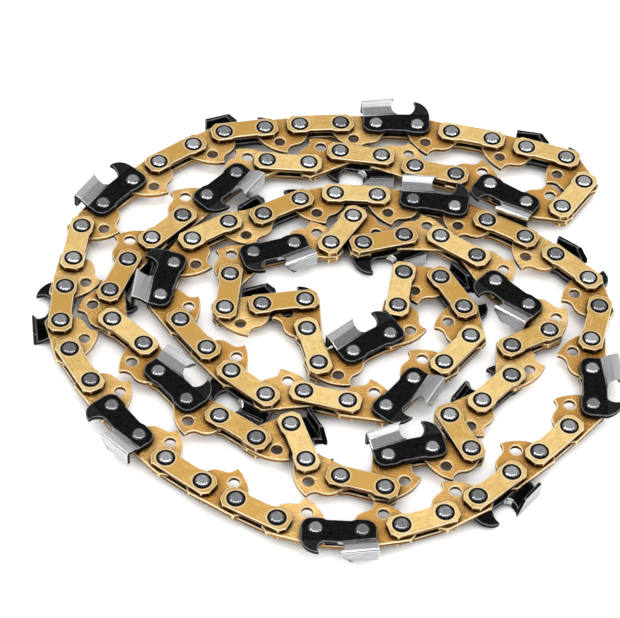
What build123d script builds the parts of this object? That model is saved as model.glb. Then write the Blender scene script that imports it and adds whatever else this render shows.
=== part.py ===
from build123d import *
import os
from cmath import phase
from collections import defaultdict
from itertools import combinations
from math import cos, degrees, radians, sin, tan

# A closed saw chain, lying coiled on its side. All sizes are in millimetres.
# Each link is drawn in its own frame: x runs forward along the chain, y points to the cutting side and
# z runs across the chain. The origin is midway between the link's two rivets, on the chain's middle plane.

# Rivet spacings. One of each makes the length that every drive link adds to the loop.
STRAP_SPACING = 10.26
DRIVE_SPACING = 8.79

# Thicknesses across the chain
DRIVE_GAUGE = 1.27
PLATE_GAUGE = 1.2
RUNNING_GAP = 0.05

# Rivets: a hub that the drive link turns on, a shank through each side plate and a formed head
HUB_WIDTH = 4.2
SHANK_WIDTH = 3.0
HEAD_WIDTH = 4.4
CROWN_WIDTH = 3.2
HEAD_RISE = 0.55
RIVET_FIT = 0.06

# Tie straps. The cutters have the same foot.
END_REACH = 3.2
STRAP_TOP = 2.9
FOOT_DEPTH = 2.75
FOOT_HOLLOW = 0.45
HOLLOW_LENGTH = 5.2
HOLLOW_RAMP = 1.2
CORNER_CUT = 1.35

# Drive links
DRIVE_END = 2.95
DRIVE_TOP = 3.6
DRIVE_CORNER = 1.5
SHOULDER_DEPTH = 2.5
TANG_BACK = 6.3
TANG_FRONT = 5.9
TANG_DEPTH = 8.0
TANG_TIP_AHEAD = 0.2
LOBE_AHEAD = 2.5
LOBE_DEPTH = 5.6
FLANK_BOW = 0.9
SCOOP_BOW = 0.7
LOBE_BOW = 0.8
OIL_HOLE_WIDTH = 2.6
OIL_HOLE_BEHIND = 1.3
OIL_HOLE_DEPTH = 4.2

# Cutters: the body with its depth gauge
GULLET_EDGE = 3.4
GULLET_FRONT = 3.3
DEPTH_GAUGE_ROOT = 2.4
DEPTH_GAUGE_RISE = 6.9
DEPTH_GAUGE_AHEAD = 4.3
DEPTH_GAUGE_BOW = 1.3
DEPTH_GAUGE_SET = 15.0
GULLET_BOW = 0.7

# Cutters: the side plate that leans out, less above its crease, the top plate bent over the chain, and the
# file that sharpened them. The chain lies on the flats at the top of the side plates.
TOOTH_FRONT = 0.1
TOOTH_RISE = 4.1
TOOTH_GAUGE = 1.0
CORNER_RISE = 2.8
CORNER_BEVEL = 0.25
CREASE_RISE = 2.4
CREASE_DROP = 2.2
SIDE_FLAT = 0.5
TOP_PLATE_WIDTH = 4.1
BACK_SLOPE = 9.0
FILE_WIDTH = 4.4
FILE_ANGLE = 30.0
FILE_AHEAD = 1.3

# How the chain lies: the rivets as traced from above, in their order along the chain. Each row is one run of
# links, which starts at a right-hand cutter and, in a full row, has a left-hand cutter as its third link.
LAY = (
    ((-36, -39), (-43, -32), (-49, -25), (-55, -17), (-57, -8), (-58, 2), (-56, 10), (-53, 19)),
    ((-50, 27), (-44, 37), (-39, 43), (-31, 50), (-24, 55), (-14, 58), (-5, 60), (5, 61)),
    ((14, 62), (24, 61), (33, 60), (43, 59), (51, 57), (61, 53), (66, 46), (59, 38)),
    ((51, 37), (42, 43), (33, 44), (24, 49), (16, 52), (5, 53), (-2, 47), (-11, 44)),
    ((-20, 41), (-27, 33), (-31, 26), (-39, 19), (-45, 12), (-47, 2), (-45, -7), (-37, -12)),
    ((-34, -20), (-27, -28), (-20, -32), (-10, -37), (-2, -33), (1, -43), (9, -48), (19, -48)),
    ((19, -39), (29, -36), (38, -37), (33, -27), (41, -23), (47, -15), (47, -6), (56, -2)),
    ((52, 6), (46, 15), (42, 22), (32, 23), (24, 25), (13, 24), (9, 32), (5, 23)),
    ((-3, 21), (-13, 18), (-19, 12), (-21, 1), (-12, 2), (-2, 4), (0, -5), (3, -14)),
    ((12, -12), (19, -5), (20, 3), (23, 14), (32, 13), (37, 4), (36, -5), (33, -14)),
    ((25, -18), (19, -26), (11, -25), (0, -25), (-9, -25), (-17, -19), (-23, -13), (-30, -5)),
    ((-36, 1), (-31, 11), (-27, 18), (-20, 26), (-13, 29), (-5, 35), (4, 38), (14, 38)),
    ((23, 37), (33, 34), (40, 30), (49, 25), (57, 21), (65, 16), (68, 7), (66, -3)),
    ((66, -12), (66, -21), (61, -28), (54, -36), (48, -42), (39, -48), (33, -54), (23, -58)),
    ((15, -60), (5, -60), (-4, -58), (-13, -55), (-21, -51), (-30, -45)),
)
FULL_ROW = 8

# How the traced lay settles: links that lie beside each other stay this far apart
LAY_GAP = 0.3
SETTLING_ROUNDS = 300
SPACING_SWEEPS = 8
LAST_SWEEPS = 1000
PUSH_SHARE = 0.3
EDGE_SHARES = (0, 0.25, 0.5, 0.75, 1)
DIGITS = 3

# Heights above the chain's middle plane
inner_face = DRIVE_GAUGE / 2 + RUNNING_GAP
outer_face = inner_face + PLATE_GAUGE
crown = outer_face + HEAD_RISE
half_height = max(crown, inner_face + CORNER_RISE)


# Tie strap: straight on the cutting side, hollowed on the bar side, with cut corners
def foot_points(end):
    """Edge of a strap or cutter on the bar side, from its rear end to its front end."""
    hollow = HOLLOW_LENGTH / 2
    half = [(hollow, FOOT_HOLLOW - FOOT_DEPTH), (hollow + HOLLOW_RAMP, -FOOT_DEPTH),
            (end - CORNER_CUT, -FOOT_DEPTH), (end, CORNER_CUT - FOOT_DEPTH)]
    return [(-x, y) for x, y in reversed(half)] + half


strap_end = STRAP_SPACING / 2 + END_REACH
strap_rivets = [(-STRAP_SPACING / 2, 0), (STRAP_SPACING / 2, 0)]
drive_rivets = [(-DRIVE_SPACING / 2, 0), (DRIVE_SPACING / 2, 0)]

with BuildPart() as tie_strap:
    with BuildSketch(Plane.XY.offset(inner_face)):
        with BuildLine():
            Polyline(
                *foot_points(strap_end),
                (strap_end, STRAP_TOP - CORNER_CUT), (strap_end - CORNER_CUT, STRAP_TOP),
                (CORNER_CUT - strap_end, STRAP_TOP), (-strap_end, STRAP_TOP - CORNER_CUT),
                close=True,
            )
        make_face()
        with Locations(*strap_rivets):
            Circle((SHANK_WIDTH + RIVET_FIT) / 2, mode=Mode.SUBTRACT)
    extrude(amount=PLATE_GAUGE)

# Drive link: a tang with a bowed rear flank, a pointed tip, a scoop in front of it and a rounded lobe
drive_end = DRIVE_SPACING / 2 + DRIVE_END
rear_shoulder = (-TANG_BACK, -SHOULDER_DEPTH)
front_shoulder = (TANG_FRONT, -SHOULDER_DEPTH)
tang_tip = (TANG_TIP_AHEAD, -TANG_DEPTH)
lobe = (LOBE_AHEAD, -LOBE_DEPTH)

with BuildPart() as drive_link:
    with BuildSketch(Plane.XY.offset(-DRIVE_GAUGE / 2)):
        with BuildLine():
            Polyline(
                front_shoulder,
                (drive_end, DRIVE_CORNER - SHOULDER_DEPTH), (drive_end, DRIVE_TOP - DRIVE_CORNER),
                (drive_end - DRIVE_CORNER, DRIVE_TOP), (DRIVE_CORNER - drive_end, DRIVE_TOP),
                (-drive_end, DRIVE_TOP - DRIVE_CORNER), (-drive_end, DRIVE_CORNER - SHOULDER_DEPTH),
                rear_shoulder,
            )
            SagittaArc(rear_shoulder, tang_tip, -FLANK_BOW)
            SagittaArc(tang_tip, lobe, SCOOP_BOW)
            SagittaArc(lobe, front_shoulder, -LOBE_BOW)
        make_face()
        with Locations(*drive_rivets):
            Circle((HUB_WIDTH + RIVET_FIT) / 2, mode=Mode.SUBTRACT)
        with Locations((-OIL_HOLE_BEHIND, -OIL_HOLE_DEPTH)):
            Circle(OIL_HOLE_WIDTH / 2, mode=Mode.SUBTRACT)
    extrude(amount=DRIVE_GAUGE)

# Rivet: turned about the line through both heads
rivet_half = [(HUB_WIDTH / 2, inner_face), (SHANK_WIDTH / 2, inner_face), (SHANK_WIDTH / 2, outer_face),
              (HEAD_WIDTH / 2, outer_face), (CROWN_WIDTH / 2, crown), (0, crown)]

with BuildPart() as rivet:
    with BuildSketch(Plane.XZ):
        with BuildLine():
            Polyline(*rivet_half, *[(r, -z) for r, z in reversed(rivet_half)], close=True)
        make_face()
    revolve(axis=Axis.Z)

# Right-hand cutter: a flat body whose depth gauge is set outwards, and a tooth folded out of its rear half.
# The tooth's section is drawn square to its top plate, which falls away from the cutting edge to the heel.
slope = radians(BACK_SLOPE)
tooth_root = (TOOTH_FRONT, GULLET_EDGE)
heel_edge = GULLET_EDGE - (TOOTH_FRONT + strap_end) * tan(slope)
tooth_length = (TOOTH_FRONT + strap_end) / cos(slope)
tooth_plane = Plane(origin=(*tooth_root, inner_face), x_dir=(-sin(slope), cos(slope), 0),
                    z_dir=(cos(slope), sin(slope), 0))
corner = TOOTH_RISE - CORNER_BEVEL
crease = TOOTH_RISE - CREASE_DROP
underside = TOOTH_RISE - TOOTH_GAUGE
inner_edge = CORNER_RISE - TOP_PLATE_WIDTH
depth_gauge_root = (strap_end, DEPTH_GAUGE_ROOT)
depth_gauge_tip = (DEPTH_GAUGE_AHEAD, DEPTH_GAUGE_RISE)
gullet_front = (GULLET_FRONT, GULLET_EDGE)
file_place = (TOOTH_FRONT + FILE_AHEAD, GULLET_EDGE + FILE_WIDTH / 2, inner_face + CORNER_RISE)
file_length = (TOP_PLATE_WIDTH + FILE_WIDTH) * 2
gauge_stock = DEPTH_GAUGE_RISE + DEPTH_GAUGE_BOW
gauge_out = (gauge_stock - GULLET_EDGE) * tan(radians(DEPTH_GAUGE_SET))

with BuildPart() as right_cutter:
    with BuildSketch(Plane.XY.offset(inner_face)):
        with BuildLine():
            Polyline(gullet_front, tooth_root, (-strap_end, heel_edge), *foot_points(strap_end),
                     depth_gauge_root)
            SagittaArc(depth_gauge_root, depth_gauge_tip, -DEPTH_GAUGE_BOW)
            SagittaArc(depth_gauge_tip, gullet_front, GULLET_BOW)
        make_face()
    extrude(amount=CORNER_RISE)
    with BuildSketch(Plane.YZ):
        with BuildLine():
            Polyline(
                (-FOOT_DEPTH, inner_face), (GULLET_EDGE, inner_face), (gauge_stock, inner_face + gauge_out),
                (gauge_stock, outer_face + gauge_out), (GULLET_EDGE, outer_face), (-FOOT_DEPTH, outer_face),
                close=True,
            )
        make_face()
    extrude(amount=strap_end + DEPTH_GAUGE_BOW, both=True, mode=Mode.INTERSECT)
    with BuildSketch(tooth_plane):
        with BuildLine():
            Polyline(
                (-TOOTH_GAUGE, 0), (0, 0), (crease, CREASE_RISE - PLATE_GAUGE),
                (underside, CORNER_RISE - PLATE_GAUGE), (underside, inner_edge), (TOOTH_RISE, inner_edge),
                (TOOTH_RISE, CORNER_RISE - CORNER_BEVEL), (corner, CORNER_RISE),
                (corner - SIDE_FLAT, CORNER_RISE), (crease, CREASE_RISE), (0, PLATE_GAUGE),
                (-TOOTH_GAUGE, PLATE_GAUGE),
                close=True,
            )
        make_face()
    extrude(amount=-tooth_length)
    with Locations(file_place):
        Cylinder(FILE_WIDTH / 2, file_length, rotation=(0, FILE_ANGLE, 0), mode=Mode.SUBTRACT)
    with BuildSketch(Plane.XY.offset(inner_face)):
        with Locations(*strap_rivets):
            Circle((SHANK_WIDTH + RIVET_FIT) / 2)
    extrude(amount=PLATE_GAUGE, mode=Mode.SUBTRACT)

# Left-hand cutter: the mirror image, on the other side of the chain
with BuildPart() as left_cutter:
    mirror(right_cutter.part, about=Plane.XY)

with BuildPart() as under_strap:
    mirror(tie_strap.part, about=Plane.XY)


# The lay, seen from above, with points as complex numbers. Link i runs from rivet i to the next one.
def dot(a, b):
    """Length of a along the unit vector b."""
    return a.real * b.real + a.imag * b.imag


def outline(part, low, high):
    """Corners, anticlockwise, of the convex outline of what a link has between two heights."""
    spots = {(round(spot.X, DIGITS), round(spot.Y, DIGITS)) for edge in part.edges()
             for spot in edge.positions(EDGE_SHARES) if low <= spot.Z <= high}
    corners = []
    for way_round in (sorted(spots), sorted(spots, reverse=True)):
        side = []
        for spot in [complex(*pair) for pair in way_round]:
            while len(side) > 1 and ((spot - side[-2]) / (side[-1] - side[-2])).imag <= 0:
                side.pop()
            side.append(spot)
        corners += side[:-1]
    return corners


def way_out(corners, others):
    """How deep the other outline is in this one's gap, the shortest way out and its innermost corner."""
    shortest = None
    for a, b in zip(corners, corners[1:] + corners[:1]):
        way = (b - a) * -1j / abs(b - a)
        heights = [dot(spot - a, way) for spot in others]
        depth = LAY_GAP - min(heights)
        if depth <= 0:
            return None
        if shortest is None or depth < shortest[0]:
            shortest = depth, way, others[heights.index(min(heights))]
    return shortest


def push_apart(spots, spacings, meetings):
    """Moves the links that are too near each other apart, each mostly at the end where they meet."""
    ends = spots[1:] + spots[:1]
    ways = [(end - spot) / abs(end - spot) for spot, end in zip(spots, ends)]
    middles = [(spot + end) / 2 for spot, end in zip(spots, ends)]
    moves = [0] * len(spots)
    for link, corners, other, other_corners, reach in meetings:
        if abs(middles[other] - middles[link]) > reach:
            continue
        here = [middles[link] + ways[link] * corner for corner in corners]
        there = [middles[other] + ways[other] * corner for corner in other_corners]
        out = way_out(here, there)
        back = out and way_out(there, here)
        if not back:
            continue
        depth, way, spot = out if out[0] < back[0] else (back[0], -back[1], back[2])
        for pushed, push in ((link, -way), (other, way)):
            share = min(1, max(0, dot(spot - spots[pushed], ways[pushed]) / spacings[pushed]))
            push *= PUSH_SHARE * depth / (share ** 2 + (1 - share) ** 2)
            moves[pushed] += push * (1 - share)
            moves[(pushed + 1) % len(spots)] += push * share
    return [spot + move for spot, move in zip(spots, moves)]


def space_out(spots, spacings, sweeps):
    """Pulls the rivets to their spacings, one after another."""
    for _ in range(sweeps):
        for i, spacing in enumerate(spacings):
            following = (i + 1) % len(spots)
            step = spots[following] - spots[i]
            pull = step * (1 - spacing / abs(step)) / 2
            spots[i] += pull
            spots[following] -= pull
    return spots


def settle(spots, spacings, flats):
    """Rivet places with each spacing exact and the links in each layer clear of each other."""
    meetings = []
    for (link, layer, corners), (other, other_layer, other_corners) in combinations(flats, 2):
        if layer == other_layer and link != other:
            reach = max(map(abs, corners)) + max(map(abs, other_corners)) + LAY_GAP
            meetings.append((link, corners, other, other_corners, reach))
    traced_length = sum(abs(spots[i] - spots[i - 1]) for i in range(len(spots)))
    spots = [spot * sum(spacings) / traced_length for spot in spots]
    for _ in range(SETTLING_ROUNDS):
        spots = space_out(push_apart(spots, spacings, meetings), spacings, SPACING_SWEEPS)
    return space_out(spots, spacings, LAST_SWEEPS)


def link_place(start, end):
    """Location of the link whose rivets are at start and end."""
    middle = (start + end) / 2
    return Location((middle.real, middle.imag, half_height), (0, 0, degrees(phase(end - start))))


# Each pair of rivets that side plates join: its row's number, and whether it has a cutter above or below
pairs = []
for number, row in enumerate(LAY, start=1):
    for i in range(0, len(row), 2):
        pairs.append((number, i == 0, len(row) == FULL_ROW and i == FULL_ROW // 2))

strap_outline = outline(tie_strap.part, inner_face, half_height)
cutter_outline = outline(right_cutter.part, inner_face, half_height)
top_plate_outline = outline(right_cutter.part, -half_height, DRIVE_GAUGE / 2)
drive_outline = outline(drive_link.part, -half_height, half_height)

flats = []
for i, (_, right_hand, left_hand) in enumerate(pairs):
    for layer, is_cutter in (("above", right_hand), ("below", left_hand)):
        flats.append((2 * i, layer, cutter_outline if is_cutter else strap_outline))
        if is_cutter:
            flats.append((2 * i, "between", top_plate_outline))
    flats.append((2 * i + 1, "between", drive_outline))

traced = [complex(*spot) for row in LAY for spot in row]
rivets = settle(traced, [STRAP_SPACING, DRIVE_SPACING] * len(pairs), flats)

pieces = defaultdict(list)
for spot in rivets:
    pieces["rivets"].append(rivet.part.moved(Location((spot.real, spot.imag, half_height))))
for i, (number, right_hand, left_hand) in enumerate(pairs):
    start, end, following = (rivets[(2 * i + step) % len(rivets)] for step in range(3))
    plates = link_place(start, end)
    pieces[f"drive_links_{number:02d}"].append(drive_link.part.moved(link_place(end, following)))
    if right_hand:
        pieces[f"right_cutter_{number:02d}"].append(right_cutter.part.moved(plates))
    else:
        pieces[f"tie_straps_{number:02d}"].append(tie_strap.part.moved(plates))
    if left_hand:
        pieces[f"left_cutter_{number:02d}"].append(left_cutter.part.moved(plates))
    else:
        pieces[f"tie_straps_{number:02d}"].append(under_strap.part.moved(plates))

# The origin is under the middle of the coil, on the surface that it lies on
box = Compound([solid for group in pieces.values() for solid in group]).bounding_box()
to_middle = Location((-box.center().X, -box.center().Y, 0))

os.makedirs("parts", exist_ok=True)
for name, group in pieces.items():
    node = Compound([solid.moved(to_middle) for solid in group])
    node.label = name
    export_step(node, f"parts/{name}.step")

print("middle of the coil was", box.center(), "size", box.size)
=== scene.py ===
# %% [markdown]
# # A saw chain, lying coiled on its side
# The chain is a closed loop of four kinds of link, held together by headed rivets. The CAD frame
# already has every link at its real size and place. So this file reads where the links lie, gives
# one of each kind its worn edges and its finishes, and lays it down again wherever the chain has it.

# %% Load the frame
import math
import bmesh
import bpy
import numpy as np
from mathutils import Matrix, Vector
from mathutils.bvhtree import BVHTree


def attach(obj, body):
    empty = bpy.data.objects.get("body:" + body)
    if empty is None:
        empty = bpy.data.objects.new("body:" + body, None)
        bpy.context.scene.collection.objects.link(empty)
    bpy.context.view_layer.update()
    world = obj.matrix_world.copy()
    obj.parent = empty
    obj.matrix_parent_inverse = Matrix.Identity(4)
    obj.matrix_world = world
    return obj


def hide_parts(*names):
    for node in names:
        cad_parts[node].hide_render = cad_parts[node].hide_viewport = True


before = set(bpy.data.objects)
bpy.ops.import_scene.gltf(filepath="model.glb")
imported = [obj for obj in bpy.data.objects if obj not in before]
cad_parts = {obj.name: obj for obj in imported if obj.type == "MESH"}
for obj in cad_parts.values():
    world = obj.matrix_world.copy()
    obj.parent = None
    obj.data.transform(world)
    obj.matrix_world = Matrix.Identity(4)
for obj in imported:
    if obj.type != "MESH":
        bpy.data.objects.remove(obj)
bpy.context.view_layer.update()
MM = 0.001
scene = bpy.context.scene


# %% [markdown]
# ## Where each link lies
# A CAD node holds one or more solids as loose triangles. Joined at their corners and walked from
# neighbour to neighbour, the triangles fall apart into solids again. A rivet's middle is the middle
# of its own box. A link is placed by the two rivets that go through it, and its far side tells which
# way it points: a drive link reaches furthest with its tang, on the right of the way the chain runs,
# and the side plates reach furthest to the left. The places could be written down as numbers, but
# places that are measured on the frame always fit it.

# %% Split the nodes into solids
WELD = 1e-7


def split(node):
    """The solids of a CAD node in a fixed order, each as its corner points and its triangles."""
    bm = bmesh.new()
    bm.from_mesh(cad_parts[node].data)
    bmesh.ops.remove_doubles(bm, verts=bm.verts, dist=WELD)
    found, seen = [], set()
    for first in bm.verts:
        if first in seen:
            continue
        reached = [first]
        seen.add(first)
        for vert in reached:
            near = [edge.other_vert(vert) for edge in vert.link_edges]
            reached.extend(other for other in near if other not in seen)
            seen.update(near)
        order = {vert: i for i, vert in enumerate(reached)}
        faces = dict.fromkeys(face for vert in reached for face in vert.link_faces)
        triangles = [[order[vert] for vert in face.verts] for face in faces]
        found.append((np.array([vert.co for vert in reached]), triangles))
    bm.free()
    return found


solids = {name: split(name) for name in sorted(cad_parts)}
rivet_spots = np.array([(points.min(0) + points.max(0)) / 2 for points, _ in solids["rivets"]])
mid_height = float(rivet_spots[:, 2].mean())
print("rivets:", len(rivet_spots), "solids in all:", sum(len(group) for group in solids.values()))


# %% Find how each link lies
def lie(points, far_side_is_tang):
    """A link's place, its turn with x forward and y to the cutting side, and half its spacing."""
    gaps = np.linalg.norm(points[:, None, :2] - rivet_spots[None, :, :2], axis=2).min(0)
    start, end = rivet_spots[np.argsort(gaps)[:2], :2]
    middle = (start + end) / 2
    half = float(np.linalg.norm(end - start)) / 2
    way = (end - start) / (2 * half)
    across = (points[:, :2] - middle) @ np.array((-way[1], way[0]))
    far_side_is_left = across.max() > -across.min()
    if far_side_is_left == far_side_is_tang:
        way = -way
    return Vector((*middle, mid_height)), math.atan2(way[1], way[0]), half


lies = {"rivets": [(Vector((*spot[:2], mid_height)), 0.0, 0.0) for spot in rivet_spots]}
for name, group in solids.items():
    if name != "rivets":
        lies[name] = [lie(points, name.startswith("drive")) for points, _ in group]
is_lower = {name: [points[:, 2].mean() < mid_height for points, _ in group]
            for name, group in solids.items()}
print("links placed:", sum(len(group) for group in lies.values()))

# %% [markdown]
# ## Helpers for the finishes
# Every colour is written as an sRGB hex value and turned to linear light by one function, and one
# small function adds a node with its settings and links. Three attributes travel with the links:
# "edge" is 1 on the narrow faces of a worn edge, "tone" is a random number that each link has for
# itself, and "own_place" is a point's place in its own link, so that grain and brush lines follow
# the link and not the room.

# %% Colour and node helpers
MIX_A, MIX_B, MIX_RESULT = 6, 7, 2


def linear(hex_colour):
    """An sRGB hex colour as a linear RGBA value."""
    shades = [int(hex_colour[i:i + 2], 16) / 255 for i in (1, 3, 5)]
    return (*[s / 12.92 if s <= 0.04045 else ((s + 0.055) / 1.055) ** 2.4 for s in shades], 1.0)


def add(tree, kind, inputs, **settings):
    """Adds a node, sets its properties, and sets or links its inputs."""
    node = tree.nodes.new(kind)
    for key, value in settings.items():
        setattr(node, key, value)
    for key, value in inputs.items():
        if isinstance(value, bpy.types.NodeSocket):
            tree.links.new(value, node.inputs[key])
        else:
            node.inputs[key].default_value = value
    return node


def start_material(name):
    """A material with an empty node tree."""
    material = bpy.data.materials.new(name)
    material.use_nodes = True
    material.node_tree.nodes.clear()
    return material, material.node_tree


def grain_scale(along, across):
    """The scale of a pattern in the link's own space, from its grain's size in millimetres."""
    return [1 / (size * MM) for size in (along, across, across)]


# %% [markdown]
# ## Gold-coloured plating
# Tie straps and drive links are stamped from steel strip, tumbled, and plated. The eye sees a warm
# satin metal with a fine grain, cloudy where the plating is thicker. Its bevels are painted paler,
# partly the polish of tumbling and partly a painted highlight, and a pale ring around a hole or a
# rivet is a painted highlight. The faces of the drive links are a little uneven, so their shine
# ripples. The walls that the stamp sheared stay dull, and are painted a darker brown as painted
# shade on the sides. Where links lie close, the plating is painted brown as painted shade in the
# corners. A texture could be painted for that, but the Ambient Occlusion node finds the corners by
# itself, also where two links meet.

# %% Gold-coloured plating
CLOUD_SIZE = (3.5, 2.2)
TUMBLED_GRAIN = (0.9, 0.35)
GRAIN_SHARE = 0.8
LIGHT_UP_TO, DEEP_FROM = 0.85, 1.5
# The pale ring around a rivet or the oil hole is a painted highlight.
RING_WIDTH = 0.5 * MM
RING_HIGHLIGHT = 0.6
# Where links lie close, the colour is mixed to a dark brown: painted shade in the corners.
CORNER_REACH = 2.0 * MM
CORNER_SAMPLES = 6
SHADE_UP_TO, UNSHADED_FROM = 0.5, 0.96
SMOOTHER, ROUGHER = 0.08, 0.1


def gold_plating(name, light, deep, edge, corner_shade, roughness, relief,
                 ring_at, ring_from, at_both_ends):
    """Plated steel with painted ring highlights and corner shade, and a relief in millimetres."""
    material, tree = start_material(name)
    place = add(tree, "ShaderNodeAttribute", {}, attribute_name="own_place").outputs["Vector"]
    tone = add(tree, "ShaderNodeAttribute", {}, attribute_name="tone").outputs["Fac"]
    rim = add(tree, "ShaderNodeAttribute", {}, attribute_name="edge").outputs["Fac"]
    # Clouds in the plating are a few millimetres wide. The tumbled grain is drawn coarser than it
    # is, and the relief deeper, so that they show.
    wide = add(tree, "ShaderNodeMapping", {"Vector": place, "Scale": grain_scale(*CLOUD_SIZE)})
    fine = add(tree, "ShaderNodeMapping", {"Vector": place, "Scale": grain_scale(*TUMBLED_GRAIN)})
    clouds = add(tree, "ShaderNodeTexNoise", {
        "Vector": wide.outputs[0], "Scale": 1.0, "Detail": 4.0}).outputs[0]
    tumbled = add(tree, "ShaderNodeTexNoise", {
        "Vector": fine.outputs[0], "Scale": 1.0, "Detail": 3.0}).outputs[0]
    mottled = add(tree, "ShaderNodeMath", {0: tumbled, 1: GRAIN_SHARE, 2: clouds},
                  operation="MULTIPLY_ADD").outputs[0]
    depth = add(tree, "ShaderNodeMath", {0: mottled, 1: tone}, operation="ADD").outputs[0]
    share = add(tree, "ShaderNodeMapRange", {
        "Value": depth, "From Min": LIGHT_UP_TO, "From Max": DEEP_FROM}).outputs[0]
    body = add(tree, "ShaderNodeMix", {
        0: share, MIX_A: linear(light), MIX_B: linear(deep)}, data_type="RGBA")
    flat = add(tree, "ShaderNodeVectorMath", {0: place, 1: (1, 1, 0)},
               operation="MULTIPLY").outputs[0]
    if at_both_ends:
        flat = add(tree, "ShaderNodeVectorMath", {0: flat}, operation="ABSOLUTE").outputs[0]
    # A pale ring around a rivet or the oil hole is painted in the edge colour: a painted highlight.
    away = add(tree, "ShaderNodeVectorMath", {0: flat, 1: (*ring_at, 0)},
               operation="DISTANCE").outputs["Value"]
    ring_highlight = add(tree, "ShaderNodeMapRange", {
        "Value": away, "From Min": ring_from, "From Max": ring_from + RING_WIDTH,
        "To Min": RING_HIGHLIGHT, "To Max": 0.0}).outputs[0]
    # The bevels take the pale edge colour: partly tumbling wear, partly a painted highlight.
    edge_wear_and_highlight = add(tree, "ShaderNodeMath", {0: rim, 1: ring_highlight}, operation="MAXIMUM").outputs[0]
    rubbed = add(tree, "ShaderNodeMix", {
        0: edge_wear_and_highlight, MIX_A: body.outputs[MIX_RESULT], MIX_B: linear(edge)}, data_type="RGBA")
    # Where the Ambient Occlusion is low, the colour is mixed to the dark brown: painted shade.
    corners = add(tree, "ShaderNodeAmbientOcclusion", {"Distance": CORNER_REACH},
                  samples=CORNER_SAMPLES)
    painted_shade = add(tree, "ShaderNodeMapRange", {
        "Value": corners.outputs["AO"], "From Min": SHADE_UP_TO, "From Max": UNSHADED_FROM,
        "To Min": 1.0, "To Max": 0.0}).outputs[0]
    colour = add(tree, "ShaderNodeMix", {
        0: painted_shade, MIX_A: rubbed.outputs[MIX_RESULT], MIX_B: linear(corner_shade)}, data_type="RGBA")
    gloss = add(tree, "ShaderNodeMapRange", {
        "Value": tumbled, "To Min": roughness - SMOOTHER, "To Max": roughness + ROUGHER})
    bump = add(tree, "ShaderNodeBump", {
        "Height": mottled, "Strength": 1.0, "Distance": relief * MM})
    shader = add(tree, "ShaderNodeBsdfPrincipled", {
        "Base Color": colour.outputs[MIX_RESULT], "Metallic": 1.0, "Roughness": gloss.outputs[0],
        "Normal": bump.outputs[0]})
    add(tree, "ShaderNodeOutputMaterial", {"Surface": shader.outputs[0]})
    return material


# %% Plated straps, drive links and sheared walls
HEAD_REACH = 2.2 * MM
OIL_HOLE = Vector((-1.3, -4.2)) * MM
OIL_HOLE_REACH = 1.3 * MM
NO_REACH = 0.0
rivet_x = lies["tie_straps_01"][0][2]
# Below, the dark brown is painted corner shade; the pale edge colour is painted highlight.
strap_gold = gold_plating(
    "gold_plated_strap_steel", light="#FADA94", deep="#D0A458", edge="#FFF0CC", corner_shade="#2C1500",
    roughness=0.34, relief=0.03, ring_at=(rivet_x, 0), ring_from=HEAD_REACH, at_both_ends=True)
drive_gold = gold_plating(
    "gold_plated_drive_steel", light="#FAD28A", deep="#CE9B52", edge="#FFEABC", corner_shade="#2C1400",
    roughness=0.34, relief=0.28, ring_at=OIL_HOLE, ring_from=OIL_HOLE_REACH, at_both_ends=False)
# A painted highlight ring of no reach lies inside the hole, so the sheared walls show none.
# The sheared walls are painted a darker brown: painted shade on the sides of the links.
shaded_wall_brown = gold_plating(
    "painted_shade_sheared_wall", light="#A87A36", deep="#6C4414", edge="#F2D28E", corner_shade="#200E00",
    roughness=0.45, relief=0.06, ring_at=OIL_HOLE, ring_from=NO_REACH, at_both_ends=False)
print("plated:", strap_gold.name, drive_gold.name, shaded_wall_brown.name)

# %% [markdown]
# ## Black oxide
# Cutters and rivets are blackened in a hot bath, which gives a deep black with little shine of its
# own, and that shine is patchy. The layer is thin, so it wears to grey steel on the edges. That wear
# is what draws the outline of a black part. A mask could be painted for it, but the "edge" attribute
# already says where the edges are.

# %% Black oxide
WEAR_SPOT = (1.2, 0.8)
BLACK_UP_TO, BARE_FROM = 0.35, 0.65
DULL_UP_TO, SHINY_FROM = 0.3, 0.7
DULL, SHINY = 0.02, 0.12
OXIDE_SMOOTH, OXIDE_ROUGH = 0.24, 0.36


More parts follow.
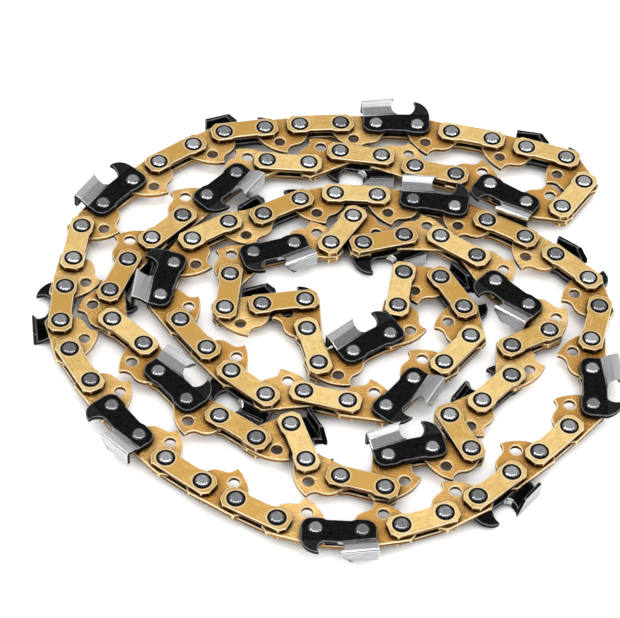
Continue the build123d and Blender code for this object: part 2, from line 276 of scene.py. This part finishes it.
def black_oxide(name, body, steel, wear):
    """Blackened steel whose edges are worn to bare steel by this share."""
    material, tree = start_material(name)
    place = add(tree, "ShaderNodeAttribute", {}, attribute_name="own_place").outputs["Vector"]
    rim = add(tree, "ShaderNodeAttribute", {}, attribute_name="edge").outputs["Fac"]
    # The wear comes and goes in spots of about a millimetre.
    spots = add(tree, "ShaderNodeMapping", {"Vector": place, "Scale": grain_scale(*WEAR_SPOT)})
    patchy = add(tree, "ShaderNodeTexNoise", {
        "Vector": spots.outputs[0], "Scale": 1.0, "Detail": 3.0}).outputs[0]
    rubbed = add(tree, "ShaderNodeMapRange", {
        "Value": patchy, "From Min": BLACK_UP_TO, "From Max": BARE_FROM,
        "To Min": wear / 2, "To Max": wear})
    worn = add(tree, "ShaderNodeMath", {0: rim, 1: rubbed.outputs[0]},
               operation="MULTIPLY").outputs[0]
    colour = add(tree, "ShaderNodeMix", {
        0: worn, MIX_A: linear(body), MIX_B: linear(steel)}, data_type="RGBA")
    gloss = add(tree, "ShaderNodeMapRange", {
        "Value": patchy, "To Min": OXIDE_SMOOTH, "To Max": OXIDE_ROUGH})
    shine = add(tree, "ShaderNodeMapRange", {
        "Value": patchy, "From Min": DULL_UP_TO, "From Max": SHINY_FROM,
        "To Min": DULL, "To Max": SHINY})
    shader = add(tree, "ShaderNodeBsdfPrincipled", {
        "Base Color": colour.outputs[MIX_RESULT], "Metallic": worn, "Roughness": gloss.outputs[0],
        "Specular IOR Level": shine.outputs[0]})
    add(tree, "ShaderNodeOutputMaterial", {"Surface": shader.outputs[0]})
    return material


cutter_black = black_oxide("black_oxide_cutter_steel", body="#07080A", steel="#C8CACC", wear=0.35)
skirt_black = black_oxide("black_oxide_rivet_skirt", body="#090909", steel="#5A5B5D", wear=0.3)
print("blackened:", cutter_black.name, skirt_black.name)

# %% [markdown]
# ## Hard chrome and burnished steel
# The tooth is hard-chromed and ground: a cool pale grey with faint lines along its length. The
# rivets' crowns are burnished by the tool that spins them over, which leaves a darker grey with
# shallow dents that break up the shine. An anisotropic shader could stretch the shine along the
# lines, but stretched noise also shows the lines themselves, and round noise gives the dents.

# %% Hard chrome and burnished steel
BRIGHT_UP_TO, DARK_FROM = 0.35, 1.3
FINER, COARSER = 0.06, 0.08


def ground_metal(name, light, deep, edge, roughness, along, across, dents):
    """Bare bright metal with lines of this length and width, and dents, all in millimetres."""
    material, tree = start_material(name)
    place = add(tree, "ShaderNodeAttribute", {}, attribute_name="own_place").outputs["Vector"]
    tone = add(tree, "ShaderNodeAttribute", {}, attribute_name="tone").outputs["Fac"]
    rim = add(tree, "ShaderNodeAttribute", {}, attribute_name="edge").outputs["Fac"]
    # Grinding lines are far finer than this on the real tooth. They are drawn as coarse as they
    # need to be to show.
    drawn = add(tree, "ShaderNodeMapping", {"Vector": place, "Scale": grain_scale(along, across)})
    lines = add(tree, "ShaderNodeTexNoise", {
        "Vector": drawn.outputs[0], "Scale": 1.0, "Detail": 3.0}).outputs[0]
    depth = add(tree, "ShaderNodeMath", {0: lines, 1: tone}, operation="ADD").outputs[0]
    share = add(tree, "ShaderNodeMapRange", {
        "Value": depth, "From Min": BRIGHT_UP_TO, "From Max": DARK_FROM}).outputs[0]
    body = add(tree, "ShaderNodeMix", {
        0: share, MIX_A: linear(light), MIX_B: linear(deep)}, data_type="RGBA")
    colour = add(tree, "ShaderNodeMix", {
        0: rim, MIX_A: body.outputs[MIX_RESULT], MIX_B: linear(edge)}, data_type="RGBA")
    gloss = add(tree, "ShaderNodeMapRange", {
        "Value": lines, "To Min": roughness - FINER, "To Max": roughness + COARSER})
    bump = add(tree, "ShaderNodeBump", {"Height": lines, "Strength": 1.0, "Distance": dents * MM})
    shader = add(tree, "ShaderNodeBsdfPrincipled", {
        "Base Color": colour.outputs[MIX_RESULT], "Metallic": 1.0, "Roughness": gloss.outputs[0],
        "Normal": bump.outputs[0]})
    add(tree, "ShaderNodeOutputMaterial", {"Surface": shader.outputs[0]})
    return material


tooth_chrome = ground_metal(
    "hard_chrome_on_tooth", light="#CFD0D1", deep="#9A9C9E", edge="#E2E3E4",
    roughness=0.26, along=9.0, across=0.7, dents=0.0015)
crown_steel = ground_metal(
    "burnished_rivet_steel", light="#C2C3C5", deep="#76777A", edge="#9A9B9D",
    roughness=0.2, along=1.6, across=0.7, dents=0.04)
print("bright metals:", tooth_chrome.name, crown_steel.name)

# %% [markdown]
# ## One link of each kind
# The edges of a stamped link are worn round, and the light that catches on a narrow bevel is what
# makes metal look like metal. Only edges as narrow as a knife's, on the cutters, stay sharp. So one
# solid of each kind is taken from the frame and turned into its own space. Its rivet holes are
# filled, because the rivets hide them, its shortest edges are closed up to leave room for a bevel,
# its flat faces are freed of their triangles, and the bevel is cut where two faces meet at an angle.
# A Bevel modifier could do that too, but here the new faces get the "edge" attribute, and corners
# that the bevel throws out of the link can be brought back.

# %% Links with worn edges
FLAT_ANGLE = math.radians(2)
SHARP_ANGLE = math.radians(28)
KNIFE_ANGLE = math.radians(112)
SHORT_EDGE = 0.28 * MM
FOOT_CORNERS = 5.0 * MM


def own_space(name, number):
    """A solid's corner points in its link's own space, its triangles, and its rivet holes."""
    points, triangles = solids[name][number]
    place, turn, half = lies[name][number]
    to_own = Matrix.Rotation(-turn, 4, "Z") @ Matrix.Translation(-place)
    holes = [Vector((-half, 0)), Vector((half, 0))]
    return [to_own @ Vector(point) for point in points], triangles, holes


def start_link():
    """An empty bmesh with the layers that the finishes read."""
    bm = bmesh.new()
    bm.faces.layers.float.new("edge")
    bm.faces.layers.bool.new("second")
    bm.verts.layers.float_vector.new("own_place")
    return bm


def as_link(title, bm):
    """Turns a bmesh into an object."""
    own_place = bm.verts.layers.float_vector["own_place"]
    for vert in bm.verts:
        vert[own_place] = vert.co
    mesh = bpy.data.meshes.new(title)
    bm.to_mesh(mesh)
    bm.free()
    link = bpy.data.objects.new(title, mesh)
    scene.collection.objects.link(link)
    print(title, "faces:", len(mesh.polygons))
    return link


def worn_link(solid, wear, foot_rounding=0.0):
    """A bmesh of a link with its edges worn by this much and the corners of its foot rounded."""
    points, triangles, holes = solid
    bm = start_link()
    verts = [bm.verts.new(point) for point in points]
    for triangle in triangles:
        bm.faces.new([verts[i] for i in triangle])
    in_hole = {vert for vert in verts
               if min((vert.co.xy - hole).length for hole in holes) < HEAD_REACH}
    hole_faces = [face for face in bm.faces if in_hole.issuperset(face.verts)]
    bmesh.ops.delete(bm, geom=hole_faces, context="FACES")
    bmesh.ops.holes_fill(bm, edges=[edge for edge in bm.edges if edge.is_boundary])
    bmesh.ops.remove_doubles(bm, verts=bm.verts, dist=SHORT_EDGE)
    bmesh.ops.dissolve_limit(bm, angle_limit=FLAT_ANGLE, verts=bm.verts, edges=bm.edges)
    if foot_rounding:
        upright = [edge for edge in bm.edges
                   if edge.is_manifold and edge.calc_face_angle() > SHARP_ANGLE
                   and (edge.verts[0].co - edge.verts[1].co).xy.length < SHORT_EDGE
                   and all(abs(vert.co.x) > FOOT_CORNERS and vert.co.y < 0 for vert in edge.verts)]
        bmesh.ops.bevel(bm, geom=upright, offset=foot_rounding, segments=3, profile=0.5,
                        affect="EDGES")
    sharp = [edge for edge in bm.edges
             if edge.is_manifold and SHARP_ANGLE < edge.calc_face_angle() < KNIFE_ANGLE]
    cut = bmesh.ops.bevel(bm, geom=sharp, offset=wear, segments=2, profile=0.5, affect="EDGES")
    # Where edges meet at a narrow angle, a bevel throws corners out of the link. They are brought
    # back to its skin.
    skin = BVHTree.FromPolygons(points, triangles)
    for vert in bm.verts:
        spot, outward, _, _ = skin.find_nearest(vert.co)
        if (vert.co - spot).dot(outward) > WELD:
            vert.co = spot
    edge = bm.faces.layers.float["edge"]
    for face in cut["faces"]:
        face[edge] = 1.0
    return bm


# %% Tie strap and drive link
STRAP_WEAR = 0.22 * MM
DRIVE_WEAR = 0.28 * MM
WALL_TILT = 0.2


def stamped_link(title, solid, wear):
    """A flat link whose sheared walls have the second finish."""
    bm = worn_link(solid, wear)
    sheared = bm.faces.layers.bool["second"]
    for face in bm.faces:
        face[sheared] = abs(face.normal.z) < WALL_TILT
    return as_link(title, bm)


upper_strap = is_lower["tie_straps_01"].index(False)
tie_strap = stamped_link("tie_strap", own_space("tie_straps_01", upper_strap), STRAP_WEAR)
drive_link = stamped_link("drive_link", own_space("drive_links_01", 0), DRIVE_WEAR)

# %% [markdown]
# ## Cutters
# The chrome covers the outside of the tooth: the side plate that leans out, the corner and the top
# plate. The inside of the tooth and the body stay black. The depth gauge slides on the wood, so its
# outside is rubbed a little. The chrome could be a shell of its own, but it is far thinner than any
# shell, so it is a finish on the faces that lie there and look outwards.

# %% Cutters
CUTTER_WEAR = 0.2 * MM
FOOT_ROUNDING = 0.9 * MM
FOLD_RISE = 3.4 * MM
FOLD_FRONT = 0.1 * MM
FOLD_SLOPE = math.tan(math.radians(9))
OUTSIDE_TILT = 0.15
TOP_TILT = 0.6
GAUGE_RUBBING = 0.06


def cutter(title, outward):
    """A cutter whose tooth and depth gauge stand out to this side of the chain."""
    bm = worn_link(own_space(title + "_01", 0), CUTTER_WEAR, FOOT_ROUNDING)
    edge = bm.faces.layers.float["edge"]
    chromed = bm.faces.layers.bool["second"]
    for face in bm.faces:
        spot, normal = face.calc_center_median(), face.normal
        is_outside = normal.z * outward > OUTSIDE_TILT
        if spot.x > FOLD_FRONT and spot.y > FOLD_RISE and is_outside:
            face[edge] = max(face[edge], GAUGE_RUBBING)
        if spot.x < FOLD_FRONT and spot.y > FOLD_RISE - FOLD_SLOPE * (FOLD_FRONT - spot.x):
            face[chromed] = is_outside or normal.y > TOP_TILT
    return as_link(title, bm)


right_cutter = cutter("right_cutter", 1)
left_cutter = cutter("left_cutter", -1)

# %% [markdown]
# ## Rivets
# A rivet is turned about its own axis, so the outline of its two heads is spun: a thin black skirt
# that lies on the plate, and a burnished crown with a flat top and a sloping shoulder, which throws
# bright spots towards the viewer. What is between the heads is hidden in the links, so it is a plain
# wall. A Screw modifier could spin the outline too, but here the crown's faces are marked at once.

# %% Rivets
# Each point of a head's outline is a radius in mm and a share of the head's height.
HEAD = ((2.2, 0.0), (1.7, 0.16), (1.66, 0.3), (1.22, 1.0), (0.0, 1.0))
CROWN_FROM = 1.68 * MM
SPIN_STEPS = 18
SEAM_WELD = 10 * WELD
plate_top = max(float(points[:, 2].max()) for points, _ in solids["tie_straps_01"])
plate_height = plate_top - mid_height
crown_height = float(solids["rivets"][0][0][:, 2].max()) - mid_height
head_rise = crown_height - plate_height

bm = start_link()
upper = [Vector((radius * MM, 0, plate_height + rise * head_rise)) for radius, rise in HEAD]
outline = upper[::-1] + [Vector((point.x, 0, -point.z)) for point in upper]
line = [bm.verts.new(point) for point in outline]
edges = [bm.edges.new(pair) for pair in zip(line, line[1:])]
bmesh.ops.spin(bm, geom=line + edges, axis=(0, 0, 1), cent=(0, 0, 0), angle=math.tau,
               steps=SPIN_STEPS)
bmesh.ops.remove_doubles(bm, verts=bm.verts, dist=SEAM_WELD)
bmesh.ops.recalc_face_normals(bm, faces=bm.faces)
burnished = bm.faces.layers.bool["second"]
for face in bm.faces:
    face.smooth = True
    face[burnished] = max(vert.co.xy.length for vert in face.verts) < CROWN_FROM
rivet = as_link("rivet", bm)
rivet.data.set_sharp_from_angle(angle=SHARP_ANGLE)
print("crown and plate above the middle, in mm:",
      round(crown_height / MM, 3), round(plate_height / MM, 3))

# %% [markdown]
# ## Laying the links
# One Geometry Nodes tree lays any of the links: it sets a copy on each point, turned as the point
# says, gives each copy its own tone, and makes the copies real, because an exported file holds no
# instances. The faces marked so get the second finish. A loop could copy objects instead, but the
# tree keeps all links of a CAD node in one piece. Its points are a small mesh for each node.

# %% The laying tree
LAY_INPUTS = {
    "Points": "NodeSocketGeometry",
    "Link": "NodeSocketObject",
    "Body finish": "NodeSocketMaterial",
    "Second finish": "NodeSocketMaterial",
    "Tone spread": "NodeSocketFloat",
    "Seed": "NodeSocketInt",
}
RANDOM_MAX, RANDOM_RESULT = 3, 1
lay = bpy.data.node_groups.new("lay_links", "GeometryNodeTree")
for title, kind in LAY_INPUTS.items():
    lay.interface.new_socket(title, in_out="INPUT", socket_type=kind)
lay.interface.new_socket("Chain", in_out="OUTPUT", socket_type="NodeSocketGeometry")
given = add(lay, "NodeGroupInput", {}).outputs
tone = add(lay, "FunctionNodeRandomValue", {
    RANDOM_MAX: given["Tone spread"], "Seed": given["Seed"]}, data_type="FLOAT")
toned = add(lay, "GeometryNodeStoreNamedAttribute", {
    "Geometry": given["Points"], "Name": "tone", "Value": tone.outputs[RANDOM_RESULT]},
    data_type="FLOAT", domain="POINT")
turn = add(lay, "GeometryNodeInputNamedAttribute", {"Name": "turn"}, data_type="FLOAT_VECTOR")
turned = add(lay, "FunctionNodeEulerToRotation", {"Euler": turn.outputs[0]})
pattern = add(lay, "GeometryNodeObjectInfo", {"Object": given["Link"]}, transform_space="ORIGINAL")
copies = add(lay, "GeometryNodeInstanceOnPoints", {
    "Points": toned.outputs[0], "Instance": pattern.outputs["Geometry"],
    "Rotation": turned.outputs[0]})
real = add(lay, "GeometryNodeRealizeInstances", {"Geometry": copies.outputs[0]})
dressed = add(lay, "GeometryNodeSetMaterial", {
    "Geometry": real.outputs[0], "Material": given["Body finish"]})
second = add(lay, "GeometryNodeInputNamedAttribute", {"Name": "second"}, data_type="BOOLEAN")
chain = add(lay, "GeometryNodeSetMaterial", {
    "Geometry": dressed.outputs[0], "Selection": second.outputs[0],
    "Material": given["Second finish"]})
add(lay, "NodeGroupOutput", {"Chain": chain.outputs[0]})
sockets = {item.name: item.identifier for item in lay.interface.items_tree
           if item.in_out == "INPUT"}
print("laying tree:", len(lay.nodes), "nodes")

# %% Lay every node of the chain
TONE_SPREAD = 0.8
KINDS = {
    "tie_straps": (tie_strap, strap_gold, shaded_wall_brown, "tie_strap_steel"),
    "drive_links": (drive_link, drive_gold, shaded_wall_brown, "drive_link_steel"),
    "right_cutter": (right_cutter, cutter_black, tooth_chrome, "cutter_steel"),
    "left_cutter": (left_cutter, cutter_black, tooth_chrome, "cutter_steel"),
    "rivets": (rivet, skirt_black, crown_steel, "rivet_steel"),
}
kind_of = {name: name.rstrip("_0123456789") for name in lies}


def lay_node(name, seed):
    """The points of one CAD node's links, with the laying tree on them."""
    link, body, second_finish, _ = KINDS[kind_of[name]]
    mesh = bpy.data.meshes.new(name + "_points")
    mesh.from_pydata([place for place, _, _ in lies[name]], [], [])
    over = [math.pi if low and link is tie_strap else 0.0 for low in is_lower[name]]
    turns = [(0.0, flip, turn) for flip, (_, turn, _) in zip(over, lies[name])]
    turn_layer = mesh.attributes.new("turn", "FLOAT_VECTOR", "POINT")
    turn_layer.data.foreach_set("vector", np.ravel(turns))
    piece = bpy.data.objects.new("finished_" + name, mesh)
    scene.collection.objects.link(piece)
    modifier = piece.modifiers.new("lay", "NODES")
    modifier.node_group = lay
    values = {"Link": link, "Body finish": body, "Second finish": second_finish,
              "Tone spread": TONE_SPREAD, "Seed": seed}
    for title, value in values.items():
        modifier[sockets[title]] = value
    return piece


laid = {name: lay_node(name, seed) for seed, name in enumerate(lies)}
print("nodes laid:", len(laid))

# %% Make the pieces plain meshes and hand them to the frame
depsgraph = bpy.context.evaluated_depsgraph_get()
triangles = 0
for piece in laid.values():
    mesh = bpy.data.meshes.new_from_object(
        piece.evaluated_get(depsgraph), preserve_all_data_layers=True, depsgraph=depsgraph)
    piece.modifiers.clear()
    piece.data = mesh
    triangles += sum(len(face.vertices) - 2 for face in mesh.polygons)
for link in (tie_strap, drive_link, right_cutter, left_cutter, rivet):
    bpy.data.objects.remove(link)
for name, piece in laid.items():
    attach(piece, "root")
    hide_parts(name)
print("triangles in the finished pieces:", triangles)

# %% [markdown]
# ## Floor, light and camera
# The chain lies on a plain white sweep under soft light. Metal shows what stands around it, so the
# room is brighter above and behind the chain than in front of it. A wide softbox overhead brightens
# what leans towards the camera, a long low one in front draws crescents on the rivets and lines on
# the edges, and one on each side adds bright spots. A picture of a room could light the chain too,
# but these few lamps can each be set alone. The floor's own glow, which only the camera and the
# metal see, keeps the paper white. It fades where the chain is near, so the shadow stays. Close
# under the chain the paper is painted brown, a painted contact shadow.

# %% Floor
FLOOR_HALF = 2.0
FLOOR_DROP = 0.02 * MM
FLOOR_LIFT = 0.5
SHADE_REACH = 6 * MM
SHADE_SAMPLES = 12
SHADOW_UP_TO, UNSHADOWED_FROM = 0.1, 0.4
COVERED_UP_TO, OPEN_FROM = 0.25, 0.7
floor_white, tree = start_material("white_paper_sweep")
nearby = add(tree, "ShaderNodeAmbientOcclusion", {"Distance": SHADE_REACH},
             samples=SHADE_SAMPLES).outputs["AO"]
# Close under the chain the paper is mixed to brown: a painted contact shadow.
contact_shadow = add(tree, "ShaderNodeMapRange", {
    "Value": nearby, "From Min": SHADOW_UP_TO, "From Max": UNSHADOWED_FROM, "To Min": 1.0, "To Max": 0.0})
shade = add(tree, "ShaderNodeMix", {
    0: contact_shadow.outputs[0], MIX_A: linear("#F8F8F8"), MIX_B: linear("#6A5440")}, data_type="RGBA")
paper = add(tree, "ShaderNodeBsdfDiffuse", {"Color": shade.outputs[MIX_RESULT]})
rays = add(tree, "ShaderNodeLightPath", {}).outputs
seen = add(tree, "ShaderNodeMath", {0: rays["Is Camera Ray"], 1: rays["Is Glossy Ray"]},
           operation="MAXIMUM")
shown = add(tree, "ShaderNodeMath", {0: seen.outputs[0], 1: rays["Is Transmission Ray"]},
            operation="MAXIMUM")
open_floor = add(tree, "ShaderNodeMapRange", {
    "Value": nearby, "From Min": COVERED_UP_TO, "From Max": OPEN_FROM, "To Max": FLOOR_LIFT})
lift = add(tree, "ShaderNodeMath", {0: shown.outputs[0], 1: open_floor.outputs[0]},
           operation="MULTIPLY")
glow = add(tree, "ShaderNodeEmission", {"Strength": lift.outputs[0]})
both = add(tree, "ShaderNodeAddShader", {0: paper.outputs[0], 1: glow.outputs[0]})
add(tree, "ShaderNodeOutputMaterial", {"Surface": both.outputs[0]})

floor_mesh = bpy.data.meshes.new("floor")
corners = [(x * FLOOR_HALF, y * FLOOR_HALF, -FLOOR_DROP)
           for x, y in ((-1, -1), (1, -1), (1, 1), (-1, 1))]
floor_mesh.from_pydata(corners, [], [(0, 1, 2, 3)])
floor_mesh.materials.append(floor_white)
floor = bpy.data.objects.new("floor", floor_mesh)
scene.collection.objects.link(floor)
print("floor at", -FLOOR_DROP / MM, "mm")

# %% World and softboxes
ROOM_LEVEL, ROOM_TOP, ROOM_BACK = 0.2, 0.35, 0.65
world = bpy.data.worlds.new("studio_room")
world.use_nodes = True
scene.world = world
tree = world.node_tree
tree.nodes.clear()
way = add(tree, "ShaderNodeTexCoord", {}).outputs["Generated"]
rise = add(tree, "ShaderNodeVectorMath", {0: way, 1: (0, ROOM_BACK, ROOM_TOP)},
           operation="DOT_PRODUCT").outputs["Value"]
level = add(tree, "ShaderNodeMath", {0: rise, 1: ROOM_LEVEL}, operation="ADD", use_clamp=True)
sky = add(tree, "ShaderNodeBackground", {
    "Color": linear("#FFFFFF"), "Strength": level.outputs[0]})
add(tree, "ShaderNodeOutputWorld", {"Surface": sky.outputs[0]})


def softbox(name, spot, width, depth, power):
    """A rectangular lamp that faces the chain, with its place and size in metres."""
    lamp = bpy.data.lights.new(name, "AREA")
    lamp.shape = "RECTANGLE"
    lamp.size, lamp.size_y = width, depth
    lamp.energy = power
    holder = bpy.data.objects.new(name, lamp)
    holder.location = spot
    holder.rotation_euler = Vector(spot).to_track_quat("Z", "Y").to_euler()
    scene.collection.objects.link(holder)


softbox("overhead_softbox", (0.0, 0.1, 0.95), width=0.7, depth=0.5, power=2.0)
softbox("front_softbox", (0.0, -0.7, 0.66), width=1.9, depth=0.25, power=6.5)
softbox("left_softbox", (-0.87, -0.23, 0.44), width=0.3, depth=0.3, power=1.5)
softbox("right_softbox", (0.87, -0.23, 0.44), width=0.3, depth=0.3, power=1.5)
print("room light:", ROOM_LEVEL, "lamps:", len(bpy.data.lights))

# %% Camera
ELEVATION = math.radians(50.85)
ROLL = math.radians(3.8)
DISTANCE = 580.6 * MM
LENS = 144.3
NEAREST = 0.01
AIM = Vector((-4.174 * MM, -0.571 * MM, mid_height + crown_height))
right = Vector((1, 0, 0))
up = Vector((0, math.sin(ELEVATION), math.cos(ELEVATION)))
towards = right.cross(up)
view_x = right * math.cos(ROLL) + up * math.sin(ROLL)
view_y = up * math.cos(ROLL) - right * math.sin(ROLL)
turned_view = Matrix((view_x, view_y, towards)).transposed()
camera = bpy.data.objects.new("camera", bpy.data.cameras.new("camera"))
camera.data.lens = LENS
camera.data.clip_start = NEAREST
camera.matrix_world = Matrix.Translation(AIM + towards * DISTANCE) @ turned_view.to_4x4()
scene.collection.objects.link(camera)
scene.camera = camera
scene.view_settings.view_transform = "Standard"
print("camera at", [round(v, 4) for v in camera.matrix_world.translation])
